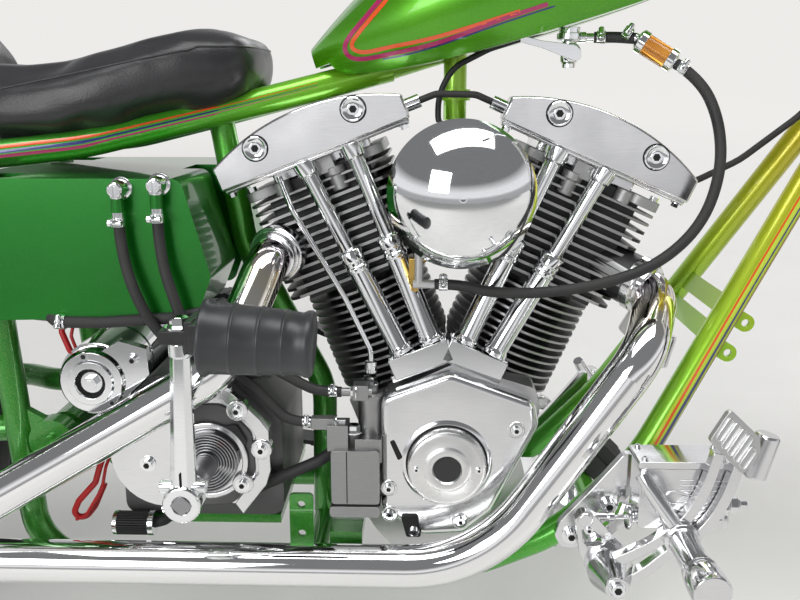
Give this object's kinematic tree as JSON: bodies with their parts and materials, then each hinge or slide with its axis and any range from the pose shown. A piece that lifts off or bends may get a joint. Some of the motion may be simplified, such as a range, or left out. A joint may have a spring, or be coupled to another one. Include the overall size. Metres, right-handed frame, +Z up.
{
  "type": "chopper motorcycle",
  "caption": "Long-forked chopper motorcycle with an open V-twin engine, spoked wheels and low straight pipes, leaning on its side stand.",
  "frame": {"origin": "centre of the parked machine's outline on the floor", "axes": "+X to the front, +Y to the rider's left, +Z up; the machine leans to its left"},
  "size_m": [2.4745, 0.7682, 1.2845],
  "materials": {
    "frame_paint": "candy lime green over metal flake, fading to olive at the neck",
    "tank_paint": "candy green metal flake with narrow blue, magenta and orange-red stripes",
    "black_iron": "black enamel with bright fin edges",
    "polished_aluminium": "polished",
    "satin_aluminium": "satin cast",
    "chrome": "bright plated",
    "steel": "brushed, oiled",
    "black_plastic": "matte",
    "black_leather": "smooth black, pale seam",
    "black_rubber": "matte",
    "road_tyre": "matte",
    "amber_glass": "clear amber"
  },
  "bodies": {
    "frame": {"frame_backbone": "frame_paint", "frame_seat_post": "frame_paint", "frame_cradle_right": "frame_paint", "frame_cradle_left": "frame_paint", "frame_cross_members": "frame_paint", "crankcase": "satin_aluminium", "cam_cover": "polished_aluminium", "front_cylinder": "black_iron", "rear_cylinder": "black_iron", "front_rocker_box": "polished_aluminium", "rear_rocker_box": "polished_aluminium", "pushrod_tubes": "chrome", "rocker_oil_lines": "chrome", "oil_pump": "satin_aluminium", "carburettor": "satin_aluminium", "air_cleaner": "chrome", "transmission": "satin_aluminium", "kicker_cover": "polished_aluminium", "starter_motor": "chrome", "primary_pulleys": "satin_aluminium", "primary_belt": "black_rubber", "final_chain": "steel", "front_pipe": "chrome", "rear_pipe": "chrome", "oil_tank": "tank_paint", "fuel_tank": "tank_paint", "seat": "black_leather", "fuel_tap": "amber_glass", "fuel_hose": "black_rubber", "oil_feed_hose": "black_rubber", "oil_return_hose": "black_rubber", "regulator": "black_plastic", "right_controls": "polished_aluminium", "left_controls": "polished_aluminium", "swing_arm": "frame_paint", "rear_axle": "steel", "rear_shocks": "chrome", "rear_fender": "tank_paint", "tail_lamp": "chrome"},
    "steering": {"triple_trees": "polished_aluminium", "fork_legs": "chrome", "handlebar": "chrome", "headlamp": "chrome"},
    "front_wheel": {"front_wheel": "chrome", "front_tyre": "road_tyre"},
    "rear_wheel": {"rear_wheel": "chrome", "rear_tyre": "road_tyre"},
    "side_stand": {"side_stand": "chrome"},
    "kick_lever": {"kick_arm": "chrome", "kick_pedal": "black_rubber"}
  },
  "joints": [
    {"name": "steering", "type": "hinge", "parent": "frame", "child": "steering", "pos_m": [0.44265, 0.01737, 0.81348], "axis": [-0.634, 0.1343, 0.7616], "range_deg": [-56, 0]},
    {"name": "front_wheel_spin", "type": "hinge", "parent": "steering", "child": "front_wheel", "pos_m": [0.91309, -0.04706, 0.31292], "axis": [-0.363, 0.8178, -0.4465], "continuous": true},
    {"name": "rear_wheel_spin", "type": "hinge", "parent": "frame", "child": "rear_wheel", "pos_m": [-0.87618, -0.07033, 0.31613], "axis": [0, 0.9848, -0.1736], "continuous": true},
    {"name": "side_stand_fold", "type": "hinge", "parent": "frame", "child": "side_stand", "pos_m": [0.11239, 0.0546, 0.16082], "axis": [0, 0.9848, -0.1736], "range_deg": [0, 80]},
    {"name": "kick_lever_swing", "type": "hinge", "parent": "frame", "child": "kick_lever", "pos_m": [-0.28634, -0.30188, 0.33897], "axis": [0, 0.9848, -0.1736], "range_deg": [-95, 0]}
  ]
}
